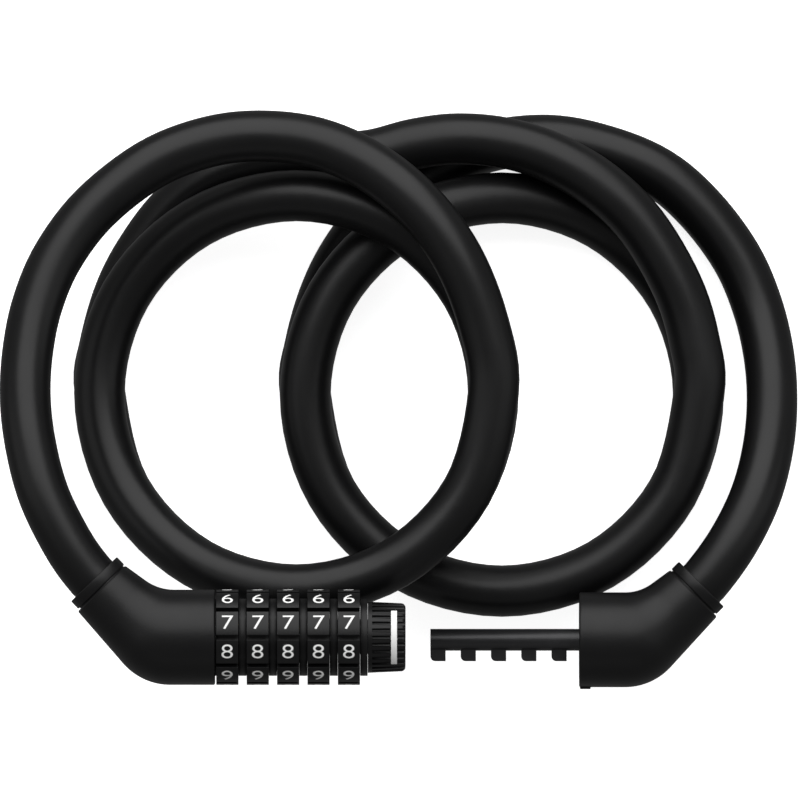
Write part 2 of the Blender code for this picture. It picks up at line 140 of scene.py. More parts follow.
class Flow:
    """A value coming out of a node, which can be written in sums."""

    def __init__(self, finish, socket):
        self.finish = finish
        self.socket = socket

    def _sum(self, operation, first, second):
        made = self.finish.node("ShaderNodeMath", {"operation": operation}, {0: first, 1: second})
        return made["Value"]

    def __add__(self, other):
        return self._sum("ADD", self, other)

    def __radd__(self, other):
        return self._sum("ADD", other, self)

    def __sub__(self, other):
        return self._sum("SUBTRACT", self, other)

    def __rsub__(self, other):
        return self._sum("SUBTRACT", other, self)

    def __mul__(self, other):
        return self._sum("MULTIPLY", self, other)

    def __rmul__(self, other):
        return self._sum("MULTIPLY", other, self)


class Outputs:
    """A node's outputs, read by name."""

    def __init__(self, finish, made):
        self.finish = finish
        self.made = made

    def __getitem__(self, name):
        return Flow(self.finish, self.made.outputs[name])


class Finish:
    """A material that is written as expressions on its nodes."""

    def __init__(self, name, **settings):
        self.material = bpy.data.materials.new(name)
        self.material.use_nodes = True
        self.tree = self.material.node_tree
        self.shader = self.tree.nodes["Principled BSDF"]
        for socket, value in settings.items():
            self.shader.inputs[socket.replace("_", " ")].default_value = value

    def node(self, kind, settings=None, inputs=None):
        made = self.tree.nodes.new(kind)
        for name, value in (settings or {}).items():
            setattr(made, name, value)
        for name, value in (inputs or {}).items():
            if isinstance(value, Flow):
                self.tree.links.new(value.socket, made.inputs[name])
            else:
                made.inputs[name].default_value = value
        return Outputs(self, made)

    def place(self, stretch=(1.0, 1.0, 1.0)):
        """Object coordinates, stretched where a pattern runs one way."""
        spot = self.node("ShaderNodeTexCoord")["Object"]
        if stretch == (1.0, 1.0, 1.0):
            return spot
        return self.node("ShaderNodeMapping", None, {"Vector": spot, "Scale": stretch})["Vector"]

    def noise(self, scale, detail=4.0, roughness=0.55, stretch=(1.0, 1.0, 1.0)):
        inputs = {"Vector": self.place(stretch), "Scale": scale, "Detail": detail, "Roughness": roughness}
        return self.node("ShaderNodeTexNoise", None, inputs)["Fac"]

    def mask(self, value, low, high):
        """0 below low, 1 above high."""
        settings = {"clamp": True, "interpolation_type": "SMOOTHSTEP"}
        inputs = {"Value": value, "From Min": low, "From Max": high, "To Min": 0.0, "To Max": 1.0}
        return self.node("ShaderNodeMapRange", settings, inputs)["Result"]

    def blend(self, share, first, second):
        """From the first colour to the second."""
        inputs = {0: share, 6: (*first, 1.0), 7: (*second, 1.0)}
        made = self.tree.nodes.new("ShaderNodeMix")
        made.data_type = "RGBA"
        for index, value in inputs.items():
            if isinstance(value, Flow):
                self.tree.links.new(value.socket, made.inputs[index])
            else:
                made.inputs[index].default_value = value
        return Flow(self, made.outputs[2])

    def set(self, name, flow):
        self.tree.links.new(flow.socket, self.shader.inputs[name])

    def bump(self, height, strength, distance):
        inputs = {"Height": height, "Strength": strength, "Distance": distance}
        self.set("Normal", self.node("ShaderNodeBump", None, inputs)["Normal"])


def satin_vinyl():
    """The cable's cover: smooth extruded vinyl, a little mottled, with a faint bloom on it."""
    made = Finish("satin_vinyl", IOR=1.47, Specular_IOR_Level=0.3)
    mottle = made.noise(70.0, 5.0, 0.6)
    bloom = made.mask(made.noise(24.0, 3.0, 0.5), 0.48, 0.72)
    peel = made.noise(900.0, 3.0, 0.5)
    share = mottle * 0.7 + bloom * 0.3
    made.set("Base Color", made.blend(share, (0.0032, 0.0032, 0.0034), (0.0066, 0.0066, 0.0069)))
    made.set("Roughness", 0.30 + mottle * 0.08 + bloom * 0.05 + peel * 0.03)
    made.bump(peel * 0.5 + mottle * 0.5, 0.12, 0.00012)
    return made.material


def moulded_plastic(name, base_roughness, grain_scale):
    """Fine-grained black moulded plastic, slightly cloudy where it has been handled."""
    made = Finish(name, IOR=1.47, Specular_IOR_Level=0.28)
    grain = made.noise(grain_scale, 2.0, 0.5)
    cloud = made.noise(95.0, 4.0, 0.6)
    handled = made.mask(cloud, 0.45, 0.75)
    made.set("Base Color", made.blend(cloud, (0.0034, 0.0034, 0.0036), (0.0068, 0.0068, 0.0071)))
    made.set("Roughness", base_roughness + cloud * 0.07 - handled * 0.05 + grain * 0.04)
    made.bump(grain, 0.16, 0.00008)
    return made.material


def white_paint():
    """Screen-printed white, a little uneven in its cover."""
    made = Finish("white_paint", IOR=1.45)
    cover = made.noise(1400.0, 3.0, 0.6)
    wear = made.noise(420.0, 2.0, 0.5)
    made.set("Base Color", made.blend(cover * 0.4 + wear * 0.6, (0.80, 0.80, 0.79), (0.93, 0.93, 0.92)))
    made.set("Roughness", 0.42 + wear * 0.14)
    made.bump(cover, 0.08, 0.00003)
    return made.material


def blackened_steel():
    """The pin: blackened steel, drawn along its length and rubbed a little bright."""
    made = Finish("blackened_steel", IOR=1.6)
    drawn = made.noise(500.0, 4.0, 0.6, (0.05, 1.0, 1.0))
    rubbed = made.mask(made.noise(160.0, 5.0, 0.65), 0.52, 0.78)
    share = rubbed * 0.5 + drawn * 0.3
    made.set("Base Color", made.blend(share, (0.011, 0.011, 0.012), (0.060, 0.060, 0.064)))
    made.set("Metallic", 0.45 + rubbed * 0.25)
    made.set("Roughness", 0.30 + drawn * 0.16)
    made.bump(drawn, 0.20, 0.00004)
    return made.material


def turned_metal(name, dark, light, base_roughness):
    """Machined metal, with the fine rings that turning leaves."""
    made = Finish(name, Metallic=1.0)
    rings = made.noise(900.0, 3.0, 0.5, (1.0, 0.06, 0.06))
    tarnish = made.noise(220.0, 4.0, 0.6)
    made.set("Base Color", made.blend(tarnish, dark, light))
    made.set("Roughness", base_roughness + rings * 0.14 + tarnish * 0.06)
    made.bump(rings, 0.18, 0.00003)
    return made.material


def pale_floor():
    made = Finish("pale_floor")
    made.shader.inputs["Roughness"].default_value = 0.75
    made.shader.inputs["Specular IOR Level"].default_value = 0.1
    made.shader.inputs["Emission Color"].default_value = (1.0, 1.0, 1.0, 1.0)
    made.shader.inputs["Emission Strength"].default_value = 0.85
    speckle = made.noise(6.0, 2.0, 0.5)
    made.set("Base Color", made.blend(speckle, (0.93, 0.93, 0.93), (0.96, 0.96, 0.96)))
    return made.material


HOUSING = moulded_plastic("housing_plastic", 0.36, 1700.0)
DIAL = moulded_plastic("dial_plastic", 0.31, 2300.0)
KNOB = moulded_plastic("knob_plastic", 0.34, 2000.0)
VINYL = satin_vinyl()
WHITE = white_paint()
PIN_STEEL = blackened_steel()
BRASS = turned_metal("turned_brass", (0.46, 0.31, 0.11), (0.68, 0.49, 0.21), 0.22)
ZINC = turned_metal("cast_zinc", (0.28, 0.29, 0.31), (0.44, 0.45, 0.47), 0.36)
STEEL = turned_metal("bright_steel", (0.44, 0.45, 0.47), (0.60, 0.61, 0.63), 0.20)

SLOT_FINISHES = {
    "housing_plastic": HOUSING,
    "dial_plastic": DIAL,
    "knob_plastic": KNOB,
    "vinyl_cover": VINYL,
    "blackened_steel": PIN_STEEL,
    "brass_parts": BRASS,
    "zinc_alloy": ZINC,
    "bright_steel": STEEL,
}


def dress_frame():
    """Give every node of the frame the finish of its slot."""
    slots = {part["node"]: part["material_slot"] for part in frame["record"]["subparts"]}
    for name, node in frame["nodes"].items():
        for place in node.material_slots:
            place.material = SLOT_FINISHES[slots[name]]


# ---------------------------------------------------------------- modelling helpers

def deselect():
    if bpy.context.mode != "OBJECT":
        bpy.ops.object.mode_set(mode="OBJECT")
    bpy.ops.object.select_all(action="DESELECT")


def pick(piece):
    deselect()
    piece.select_set(True)
    bpy.context.view_layer.objects.active = piece


def settle(piece):
    """Put a piece's place, turn and scale into its mesh."""
    pick(piece)
    bpy.ops.object.transform_apply(location=True, rotation=True, scale=True)
    return piece


def rod(name, left, right, axis, radius, sides=96):
    """A cylinder along X."""
    deselect()
    bpy.ops.mesh.primitive_cylinder_add(
        vertices=sides,
        radius=radius,
        depth=right - left,
        location=((left + right) / 2, axis.y, axis.z),
        rotation=(0, math.pi / 2, 0),
    )
    made = bpy.context.active_object
    made.name = name
    return settle(made)


def block(name, low, high):
    deselect()
    middle = (Vector(low) + Vector(high)) / 2
    bpy.ops.mesh.primitive_cube_add(size=1.0, location=middle)
    made = bpy.context.active_object
    made.name = name
    made.scale = Vector(high) - Vector(low)
    return settle(made)


def join(pieces):
    pick(pieces[0])
    for piece in pieces[1:]:
        piece.select_set(True)
    bpy.ops.object.join()
    return bpy.context.active_object


def combine(piece, tool, operation="DIFFERENCE"):
    """Cut the tool out of the piece, or join or keep what they share, and drop the tool."""
    pick(piece)
    step = piece.modifiers.new(operation.lower(), "BOOLEAN")
    step.operation = operation
    step.solver = "EXACT"
    step.object = tool
    bpy.ops.object.modifier_apply(modifier=step.name)
    bpy.data.objects.remove(tool, do_unlink=True)
    return piece


def round_edges(piece, width, segments=2, angle=32):
    pick(piece)
    step = piece.modifiers.new("round_edges", "BEVEL")
    step.width = width
    step.segments = segments
    step.limit_method = "ANGLE"
    step.angle_limit = math.radians(angle)
    step.use_clamp_overlap = True
    bpy.ops.object.modifier_apply(modifier=step.name)
    return piece


def finish_piece(piece, body, material, replaced=()):
    """Shade a piece, give it its material, and set it on its body."""
    pick(piece)
    bpy.ops.object.shade_smooth_by_angle(angle=math.radians(30))
    piece.data.materials.clear()
    piece.data.materials.append(material)
    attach(piece, body)
    if replaced:
        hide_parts(*replaced)
    return piece


def copy_along(piece, name, shift):
    """A copy with its own mesh, moved along X."""
    pick(piece)
    bpy.ops.object.duplicate(linked=False)
    made = bpy.context.active_object
    made.name = name
    made.location = X_AXIS * shift
    return settle(made)


# ---------------------------------------------------------------- the cable

FIRST_COIL = Vector((-24.3, 1.7, 0)) * MM
SECOND_COIL = Vector((23.9, 1.3, 0)) * MM
COIL_R = 46.1 * MM
LEAVE_DIAL_END = [
    (-77.3, -33.7, 55.2),
    (-82.9, -22.5, 54.1),
    (-86.0, -11.2, 51.9),
    (-87.4, 0.0, 49.0),
    (-86.9, 11.2, 46.0),
    (-84.6, 22.5, 43.3),
    (-79.8, 33.7, 40.9),
    (-71.3, 44.9, 38.9),
    (-58.5, 54.9, 37.5),
    (-45.6, 60.1, 37.0),
    (-33.0, 61.7, 37.0),
    (-19.5, 60.1, 37.5),
    (-6.8, 54.5, 39.4),
    (4.5, 45.4, 41.9),
    (13.6, 33.0, 43.2),
    (19.6, 17.6, 43.2),
]
CROSS_TO_SECOND = [
    (-69.3, 12.9, 6.0),
    (-65.6, 25.7, 6.1),
    (-60.1, 36.0, 7.0),
    (-52.9, 45.1, 8.6),
    (-43.3, 51.9, 11.0),
    (-31.8, 55.4, 13.6),
    (-19.2, 56.4, 16.2),
    (-6.8, 57.4, 18.0),
    (3.5, 60.0, 18.4),
    (13.6, 61.2, 18.4),
    (24.7, 60.2, 18.4),
    (35.5, 56.8, 18.4),
    (46.8, 50.3, 18.4),
    (56.6, 40.8, 18.4),
    (65.0, 26.6, 18.4),
    (69.0, 13.6, 18.4),
]
LEAD_TO_PIN_END = [
    (-21.1, 12.9, 6.0),
    (-17.3, 25.7, 6.0),
    (-11.7, 36.2, 6.0),
    (-3.7, 45.8, 6.0),
    (7.0, 53.4, 6.0),
    (19.9, 59.2, 6.0),
    (34.6, 61.0, 6.0),
    (48.2, 58.5, 6.0),
    (60.6, 53.3, 6.0),
    (70.4, 44.9, 6.0),
    (78.8, 33.7, 6.1),
    (83.7, 22.5, 7.2),
    (86.4, 11.2, 10.3),
    (87.2, 0.0, 14.5),
    (86.2, -11.2, 19.1),
    (83.2, -22.5, 23.5),
    (77.9, -33.2, 26.5),
]


def ease(low, high, share):
    share = min(max(share, 0.0), 1.0)
    return low + (high - low) * (1 - math.cos(math.pi * share)) / 2


def first_coil_height(angle):
    if angle > -200:
        return ease(CABLE_R + 3 * LEVEL, CABLE_R + LEVEL, (-64 - angle) / 120)
    if angle > -370:
        return ease(CABLE_R + LEVEL, CABLE_R + 2 * LEVEL, (-210 - angle) / 85)
    return ease(CABLE_R + 2 * LEVEL, CABLE_R, (-420 - angle) / 120)


def second_coil_height(angle):
    return ease(CABLE_R + LEVEL, CABLE_R, (-235 - angle) / 75)


def coil_turns(centre, heights, start_deg, end_deg, step_deg=-30):
    """Points round a coil, clockwise; heights gives the height at each angle."""
    points = []
    for angle in range(start_deg, end_deg + step_deg, step_deg):
        turn = math.radians(angle)
        flat = centre + COIL_R * Vector((math.cos(turn), math.sin(turn), 0))
        points.append(Vector((flat.x, flat.y, heights(angle))))
    return points


def elbow_path(face, heading, shape):
    """The elbow's middle line: a function of the distance from its face, and its length."""
    bend = math.radians(shape["bend_deg"])
    side = Vector((0, 1, 0))

    def at(distance):
        turn = min(max(distance - shape["straight"], 0.0) / BEND_R, bend)
        neck = max(distance - shape["straight"] - BEND_R * bend, 0.0)
        tangent = math.cos(turn) * heading + math.sin(turn) * side
        centre = face + min(distance, shape["straight"]) * heading
        centre += BEND_R * (math.sin(turn) * heading + (1 - math.cos(turn)) * side)
        return centre + neck * tangent, tangent

    return at, shape["straight"] + BEND_R * bend + shape["neck"]


DIAL_PATH, DIAL_LENGTH = elbow_path(DIAL_FACE, -X_AXIS, DIAL_ELBOW)
PIN_PATH, PIN_LENGTH = elbow_path(PIN_FACE, X_AXIS, PIN_ELBOW)


def cable_exit(path, length):
    return path(length + GAP + COLLAR_WIDTH + 1.0 * MM)


def route_points():
    points = [cable_exit(DIAL_PATH, DIAL_LENGTH)[0]]
    points += [Vector(point) * MM for point in LEAVE_DIAL_END]
    points += coil_turns(FIRST_COIL, first_coil_height, 0, -540)
    points += [Vector(point) * MM for point in CROSS_TO_SECOND]
    points += coil_turns(SECOND_COIL, second_coil_height, 0, -540)
    points += [Vector(point) * MM for point in LEAD_TO_PIN_END]
    points.append(cable_exit(PIN_PATH, PIN_LENGTH)[0])
    return points


def smooth_line(points, start_tangent, end_tangent, steps=6):
    """A smooth curve through the points."""
    reach = (points[1] - points[0]).length
    knots = [points[0] - reach * start_tangent, *points, points[-1] - reach * end_tangent]
    fine = []
    for p0, p1, p2, p3 in zip(knots, knots[1:], knots[2:], knots[3:]):
        for step in range(steps):
            t = step / steps
            linear = (p2 - p0) * t
            square = (2 * p0 - 5 * p1 + 4 * p2 - p3) * t**2
            cube = (3 * p1 - p0 - 3 * p2 + p3) * t**3
            fine.append(0.5 * (2 * p1 + linear + square + cube))
    fine.append(points[-1])
    return fine


def line_length(points):
    return sum((there - here).length for here, there in zip(points, points[1:]))


def make_tube(name, points, radii, resolution, caps=True):
    """A curve with a round section, which may change along it."""
    data = bpy.data.curves.new(name, "CURVE")
    data.dimensions = "3D"
    data.bevel_depth = 1.0
    data.bevel_resolution = resolution
    data.use_fill_caps = caps
    line = data.splines.new("POLY")
    line.points.add(len(points) - 1)
    for place, point, radius in zip(line.points, points, radii):
        place.co = (*point, 1.0)
        place.radius = radius
    line.use_smooth = True
    made = bpy.data.objects.new(name, data)
    bpy.context.collection.objects.link(made)
    return made


def make_cable():
    heading_a = cable_exit(DIAL_PATH, DIAL_LENGTH)[1]
    heading_b = cable_exit(PIN_PATH, PIN_LENGTH)[1]
    start = DIAL_PATH(DIAL_LENGTH - 4.0 * MM)[0]
    end = PIN_PATH(PIN_LENGTH - 4.0 * MM)[0]
    points = [start, *smooth_line(route_points(), heading_a, heading_b), end]
    cable = make_tube("cable", points, [CABLE_R] * len(points), 10)
    cable.data.materials.append(VINYL)
    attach(cable, "lock_base")
    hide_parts("cable_cover")
    tuple(DIAL_PATH(DIAL_LENGTH)[0])
    round(line_length(points), 3)


# ---------------------------------------------------------------- the two housings

def elbow_tube(name, points, radii, resolution=30):
    tube = make_tube(name, points, radii, resolution)
    pick(tube)
    bpy.ops.object.convert(target="MESH")
    made = bpy.context.active_object
    bpy.ops.object.mode_set(mode="EDIT")
    bpy.ops.mesh.select_all(action="SELECT")
    bpy.ops.mesh.remove_doubles(threshold=0.000001)
    bpy.ops.mesh.normals_make_consistent(inside=False)
    bpy.ops.object.mode_set(mode="OBJECT")
    return made


def towards_inside(tangent):
    """The flat direction from an elbow's middle line to the inside of its bend."""
    side = UP.cross(tangent)
    return side * math.copysign(1.0, side.y)


def past_edge(along, across, level, edge):
    """How far a spot lies past an edge of the elbow, on the side that the elbow bends to."""
    if along <= edge["start"]:
        return across - level
    round_centre = (edge["start"], level + edge["radius"])
    turn = math.radians(edge["turn_deg"])
    right, up = along - round_centre[0], across - round_centre[1]
    if math.atan2(right, -up) <= turn:
        return edge["radius"] - math.hypot(right, up)
    right -= edge["radius"] * math.sin(turn)
    up += edge["radius"] * math.cos(turn)
    return up * math.cos(turn) - right * math.sin(turn)


def reach_to_edge(spot, direction, face, heading, level, edge):
    """The distance from a spot, in a direction, to an edge, found by halving."""
    low, high = 4.0 * MM, 14.0 * MM
    for _ in range(24):
        middle = (low + high) / 2
        place = spot + middle * direction - face
        inside = past_edge(place.dot(heading), place.y, level, edge) * level < 0
        low, high = (middle, high) if inside else (low, middle)
    return middle


def skin_rings(path, length, face, heading, bend_deg, edges):
    """Round sections that turn with the bend, each reaching from the outer edge to the inner one."""
    stations = [(0.0, 0.3 * MM), (0.12 * MM, 0.1 * MM)]
    stations += [(0.3 * MM + (length - 0.6 * MM) * step / 60, 0.0) for step in range(61)]
    stations.append((length, 0.25 * MM))
    rings = []
    for distance, eased in stations:
        spot = path(distance)[0]
        turned = math.radians(bend_deg) * ease(0.0, 1.0, (distance - TURN_START) / TURN_LENGTH)
        inwards = towards_inside(math.cos(turned) * heading + math.sin(turned) * Vector((0, 1, 0)))
        inner = reach_to_edge(spot, inwards, face, heading, HOUSING_R, edges["inner"])
        outer = reach_to_edge(spot, -inwards, face, heading, -HOUSING_R, edges["outer"])
        middle = spot + (inner - outer) / 2 * inwards
        radius = (inner + outer) / 2 - eased
        turns = [2 * math.pi * side / SKIN_SIDES for side in range(SKIN_SIDES)]
        rings.append([middle + radius * (math.cos(turn) * inwards + math.sin(turn) * UP) for turn in turns])
    return rings


def make_skin(name, rings):
    """A closed skin through the rings."""
    corners = [tuple(corner) for ring in rings for corner in ring]
    faces = [tuple(range(SKIN_SIDES)), tuple(range(len(corners) - SKIN_SIDES, len(corners)))]
    for ring in range(len(rings) - 1):
        for side in range(SKIN_SIDES):
            first = ring * SKIN_SIDES + side
            second = ring * SKIN_SIDES + (side + 1) % SKIN_SIDES
            faces.append((first, second, second + SKIN_SIDES, first + SKIN_SIDES))
    mesh = bpy.data.meshes.new(name)
    mesh.from_pydata(corners, [], faces)
    made = bpy.data.objects.new(name, mesh)
    bpy.context.collection.objects.link(made)
    pick(made)
    bpy.ops.object.mode_set(mode="EDIT")
    bpy.ops.mesh.select_all(action="SELECT")
    bpy.ops.mesh.normals_make_consistent(inside=False)
    bpy.ops.object.mode_set(mode="OBJECT")
    return made


def make_shell(name, path, length, shape, edges, front_bore_r, front_wall):
    """A smooth elbow that narrows to its neck, bored for the cable and hollow behind its face."""
    straight = shape["straight"]
    face, heading = path(0.0)
    shell = make_skin(name, skin_rings(path, length, face, heading, shape["bend_deg"], edges))
    deep = straight - 1.0 * MM
    bend = [deep + (length - shape["neck"] - deep) * step / 12 for step in range(13)]
    bore = [-1.0 * MM, deep, *[at + 0.01 * MM for at in bend[1:]], length + 1.0 * MM]
    bore_radii = [CAVITY_R, CAVITY_R] + [CABLE_BORE_R] * (len(bore) - 2)
    if front_wall:
        bore = [front_wall, *bore[1:]]
    combine(shell, elbow_tube(name + "_bore", [path(at)[0] for at in bore], bore_radii, 14))
    if front_wall:
        hole = rod(name + "_hole", PIN_FACE.x - OVERCUT, PIN_FACE.x + front_wall + OVERCUT, PIN_FACE,
                   front_bore_r, 48)
        combine(shell, hole)
    return finish_piece(shell, "lock_base", HOUSING, (name.replace("_smooth", ""),))


def neck_rod(middle, tangent, radius, depth, sides):
    """A cylinder lying along the neck."""
    bpy.ops.mesh.primitive_cylinder_add(
        vertices=sides,
        radius=radius,
        depth=depth,
        location=middle,
        rotation=(0, math.pi / 2, math.atan2(tangent.y, tangent.x)),
    )
    return settle(bpy.context.active_object)


def make_collar(name, path, length, node):
    """The ring at the neck: thin, round-edged, and close round the cable."""
    near, tangent = path(length + GAP)
    far = path(length + GAP + COLLAR_WIDTH)[0]
    deselect()
    collar = neck_rod((near + far) / 2, tangent, COLLAR_R, COLLAR_WIDTH, 96)
    collar.name = name
    round_edges(collar, 0.28 * MM, 3)
    root = path(length - 0.2 * MM)[0]
    reach = (near - root).length + 1.0 * MM
    combine(collar, neck_rod((near + root) / 2 + 0.5 * MM * tangent, tangent, SPIGOT_R, reach, 96), "UNION")
    combine(collar, neck_rod((near + far) / 2, tangent, CABLE_BORE_R, 4 * COLLAR_WIDTH, 64))
    return finish_piece(collar, "lock_base", HOUSING, (node,))


def make_index_lug():
    """The small lug under the pin housing's front edge."""
    left = PIN_FACE.x + 0.2 * MM
    low = (left, PIN_AXIS.y - HOUSING_R - 0.42 * MM, PIN_AXIS.z - 1.3 * MM)
    high = (left + 2.5 * MM, PIN_AXIS.y - HOUSING_R + 0.6 * MM, PIN_AXIS.z + 1.3 * MM)
    lug = block("index_lug", low, high)
    round_edges(lug, 0.18 * MM, 3)
    finish_piece(lug, "lock_base", HOUSING)


# ---------------------------------------------------------------- the dials

def make_dial_blank():
    """One dial: a rim with straight grooves, its edges eased, bored for its coded ring."""
    left = low_x("dial_1")
    right = high_x("dial_1")
    dial = rod("dial_blank", left, right, DIAL_AXIS, HOUSING_R, 180)
    cutters = []
    middle = HOUSING_R - GROOVE_DEPTH + 1.5 * MM
    for groove in range(GROOVES):
        turn = 2 * math.pi * groove / GROOVES
        out = Vector((0, math.sin(turn), math.cos(turn)))
        deselect()
        bpy.ops.mesh.primitive_cube_add(
            size=1.0,
            location=Vector(((left + right) / 2, DIAL_AXIS.y, DIAL_AXIS.z)) + out * middle,
            rotation=(-turn, 0, 0),
        )
        cutter = bpy.context.active_object
        cutter.scale = (2 * (right - left), GROOVE_WIDTH, 3.0 * MM)
        cutters.append(settle(cutter))
    combine(dial, join(cutters))
    combine(dial, rod("dial_bore", left - OVERCUT, right + OVERCUT, DIAL_AXIS, DIAL_BORE_R, 96))
    return round_edges(dial, 0.22 * MM, 3)


def make_digit_ring():
    """The ten digits of one dial, inlaid level with the rim and a hair proud of it."""
    left = low_x("dial_1")
    right = high_x("dial_1")
    digits = []
    for digit in range(GROOVES):
        turn = math.radians(18 + 36 * (7 - digit))
        out = Vector((0, math.sin(turn), math.cos(turn)))
        deselect()
        bpy.ops.object.text_add(
            location=Vector(((left + right) / 2, DIAL_AXIS.y, DIAL_AXIS.z)) + out * (HOUSING_R - 0.2 * MM),
            rotation=(-turn, 0, 0),
        )
        text = bpy.context.active_object
        text.data.body = str(digit)
        text.data.size = DIGIT_SIZE
        text.data.align_x = "CENTER"
        text.data.align_y = "CENTER"
        text.data.extrude = 0.9 * MM
        text.data.offset = -0.03 * MM
        text.data.resolution_u = 8
        text.scale = (DIGIT_STRETCH, 1.0, 1.0)
        bpy.ops.object.convert(target="MESH")
        digits.append(settle(bpy.context.active_object))
    ring = join(digits)
    ring.name = "digit_ring"
    drum = rod("digit_drum", left - OVERCUT, right + OVERCUT, DIAL_AXIS, HOUSING_R + 0.03 * MM, 180)
    return combine(ring, drum, "INTERSECT")


def make_dials():
    blank = make_dial_blank()
    ring = make_digit_ring()
    first = low_x("dial_1")
    for number in range(1, DIAL_COUNT + 1):
        shift = low_x(f"dial_{number}") - first
        body = f"dial_{number}_body"
        dial = copy_along(blank, f"dial_{number}_rim", shift)
        finish_piece(dial, body, DIAL, (f"dial_{number}",))
        digits = copy_along(ring, f"dial_{number}_digits", shift)
        finish_piece(digits, body, WHITE)
    bpy.data.objects.remove(blank, do_unlink=True)
    bpy.data.objects.remove(ring, do_unlink=True)


def make_dividers():
    """The plain discs between the dials, gated for the teeth."""
    for number in range(1, DIAL_COUNT + 1):
        node = f"divider_{number}"
        left = low_x(node) - GAP + CLOSE_GAP
        right = high_x(node) + GAP - CLOSE_GAP
        disc = rod(node + "_disc", left, right, DIAL_AXIS, DIVIDER_R, 128)
        bore = rod("divider_bore", left - OVERCUT, right + OVERCUT, DIAL_AXIS, DIVIDER_BORE_R, 64)
        combine(disc, bore)
        gate = block(
            "divider_gate",
            (left - OVERCUT, DIAL_AXIS.y - GATE_R, DIAL_AXIS.z - GATE_WIDTH / 2),
            (right + OVERCUT, DIAL_AXIS.y, DIAL_AXIS.z + GATE_WIDTH / 2),
        )
        combine(disc, gate)
        round_edges(disc, 0.12 * MM, 2)
        finish_piece(disc, "lock_base", HOUSING, (node,))


def make_root_disc():
    """The end of the stack's core, seen between the first dial and the housing's face."""
    left = DIAL_FACE.x + 0.01 * MM
    right = low_x("dial_1") - CLOSE_GAP
    disc = rod("stack_root_disc", left, right, DIAL_AXIS, DIVIDER_R, 128)
    combine(disc, rod("root_bore", left - OVERCUT, right + OVERCUT, DIAL_AXIS, DIVIDER_BORE_R, 64))
    round_edges(disc, 0.04 * MM, 2)
    finish_piece(disc, "lock_base", HOUSING)


# ---------------------------------------------------------------- the reset knob

def make_knob():
    """A fluted knob with a plain flange at its root and a rounded nose."""
    left = low_x("reset_knob")
    right = high_x("reset_knob")
    deselect()
    bpy.ops.mesh.primitive_cone_add(
        vertices=120,
        radius1=KNOB_ROOT_R,
        radius2=KNOB_R,
        depth=right - left,
        location=((left + right) / 2, DIAL_AXIS.y, DIAL_AXIS.z),
        rotation=(0, math.pi / 2, 0),
    )
    knob = bpy.context.active_object
    knob.name = "reset_knob_fluted"
    settle(knob)
    bpy.ops.object.mode_set(mode="EDIT")
    bpy.ops.mesh.select_all(action="DESELECT")
    bpy.ops.object.mode_set(mode="OBJECT")
    for edge in knob.data.edges:
        ends = [knob.data.vertices[index].co.x for index in edge.vertices]
        edge.select = min(ends) > right - 0.01 * MM
    bpy.ops.object.mode_set(mode="EDIT")
    bpy.ops.mesh.select_mode(type="EDGE")
    bpy.ops.mesh.bevel(offset=1.0 * MM, segments=5, affect="EDGES")
    bpy.ops.object.mode_set(mode="OBJECT")
    flutes = []
    for number in range(KNOB_FLUTES):
        turn = 2 * math.pi * (number + 0.5) / KNOB_FLUTES
        place = DIAL_AXIS + Vector((0, math.cos(turn), math.sin(turn))) * (KNOB_R + 0.1 * MM)
        flutes.append(rod("flute", left + FLANGE_WIDTH, right + OVERCUT, place, FLUTE_R, 12))
    combine(knob, join(flutes))
    combine(knob, rod("knob_bore", left - OVERCUT, right + OVERCUT, DIAL_AXIS, KNOB_BORE_R, 64))
    gate = block(
        "knob_gate",
        (left - OVERCUT, DIAL_AXIS.y - GATE_R, DIAL_AXIS.z - GATE_WIDTH / 2),
        (right + OVERCUT, DIAL_AXIS.y, DIAL_AXIS.z + GATE_WIDTH / 2),
    )
    combine(knob, gate)
    chamber_end = left + KNOB_CHAMBER_DEPTH
    combine(knob, rod("knob_chamber", left - OVERCUT, chamber_end, DIAL_AXIS, KNOB_CHAMBER_R, 64))
    finish_piece(knob, "reset_knob_body", KNOB, ("reset_knob",))


def make_knob_mark():
    """The white index line, a band let in across the ribs."""
    right = high_x("reset_knob") - MARK_FROM_END
    left = right - MARK_WIDTH
    band = rod("knob_mark", left, right, DIAL_AXIS, KNOB_R + 0.16 * MM, 120)
    combine(band, rod("band_bore", left - OVERCUT, right + OVERCUT, DIAL_AXIS, KNOB_R - 0.6 * MM, 120))
    reach = KNOB_R * math.cos(math.radians(MARK_HALF_DEG))
    keep = block(
        "band_keep",
        (left - OVERCUT, DIAL_AXIS.y - 10 * MM, DIAL_AXIS.z + reach),
        (right + OVERCUT, DIAL_AXIS.y + 10 * MM, DIAL_AXIS.z + 10 * MM),
    )
    combine(band, keep, "INTERSECT")
    round_edges(band, 0.05 * MM, 2)
    finish_piece(band, "reset_knob_body", WHITE)


# ---------------------------------------------------------------- the toothed pin

